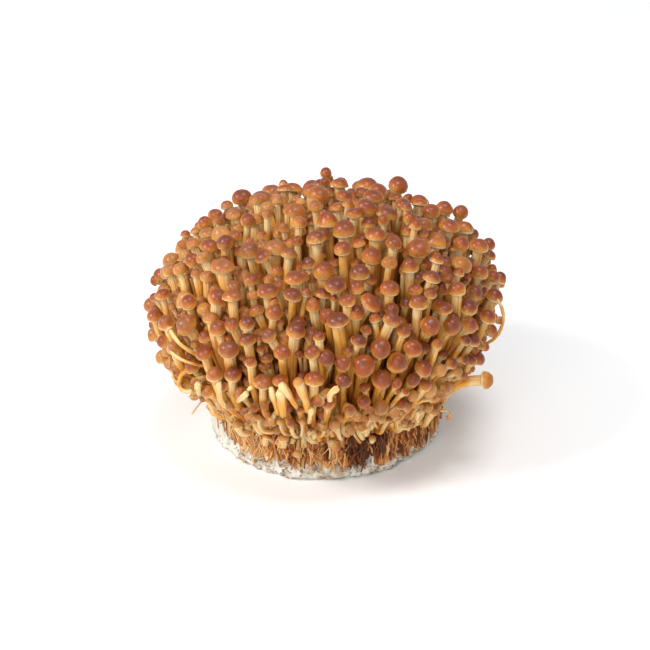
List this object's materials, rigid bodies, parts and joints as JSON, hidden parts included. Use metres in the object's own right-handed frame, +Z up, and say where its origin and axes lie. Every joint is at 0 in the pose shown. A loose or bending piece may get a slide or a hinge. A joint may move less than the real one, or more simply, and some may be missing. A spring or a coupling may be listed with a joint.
{
  "type": "enoki mushroom bunch",
  "caption": "Dense round bunch of brown-capped enoki mushrooms that fan out on long pale stems from the low round cake of growing medium on which it stands.",
  "frame": {"origin": "centre of the cake's flat underside, on the surface that the bunch stands on", "axes": "+Z up through the bunch, -Y towards the side that the picture shows, +X to its right"},
  "size_m": [0.1198, 0.1191, 0.0851],
  "materials": {
    "mycelium_crust": "matte, crumbly white mycelium over tan growing medium",
    "mushroom_flesh": "moist mushroom flesh: softly glossy reddish brown caps on amber to cream stems"
  },
  "bodies": {
    "root": {"growing_cake": "mycelium_crust", "tuft_front": "mushroom_flesh", "tuft_back_right": "mushroom_flesh", "tuft_back_left": "mushroom_flesh"}
  },
  "joints": []
}
